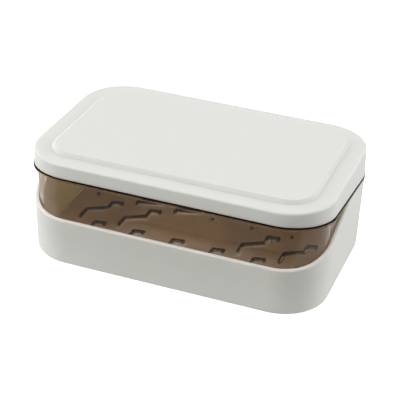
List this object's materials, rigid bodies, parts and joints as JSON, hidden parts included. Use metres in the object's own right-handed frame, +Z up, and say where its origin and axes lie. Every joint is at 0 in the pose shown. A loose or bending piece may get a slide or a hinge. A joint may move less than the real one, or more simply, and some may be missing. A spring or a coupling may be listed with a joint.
{
  "type": "covered soap dish",
  "caption": "Covered soap dish: base whose front rim dips in a long swoop, see-through smoked tray with zigzag drain slots, and a lift-off lid with a raised panel.",
  "frame": {"origin": "middle of the flat resting face under the base", "axes": "+X along the length, to the right when seen from the front; +Y from the cut-down front to the back; +Z up"},
  "size_m": [0.1406, 0.0906, 0.0518],
  "materials": {
    "white_plastic": "satin off-white, moulded",
    "smoked_plastic": "see-through smoked brown, polished"
  },
  "bodies": {
    "base": {"base": "white_plastic"},
    "tray": {"tray": "smoked_plastic"},
    "lid": {"lid": "white_plastic"}
  },
  "joints": [
    {"name": "tray_lift", "type": "slide", "parent": "base", "child": "tray", "axis": [0, 0, 1], "range_m": [0, 0.06]},
    {"name": "lid_lift", "type": "slide", "parent": "tray", "child": "lid", "axis": [0, 0, 1], "range_m": [0, 0.05]}
  ]
}
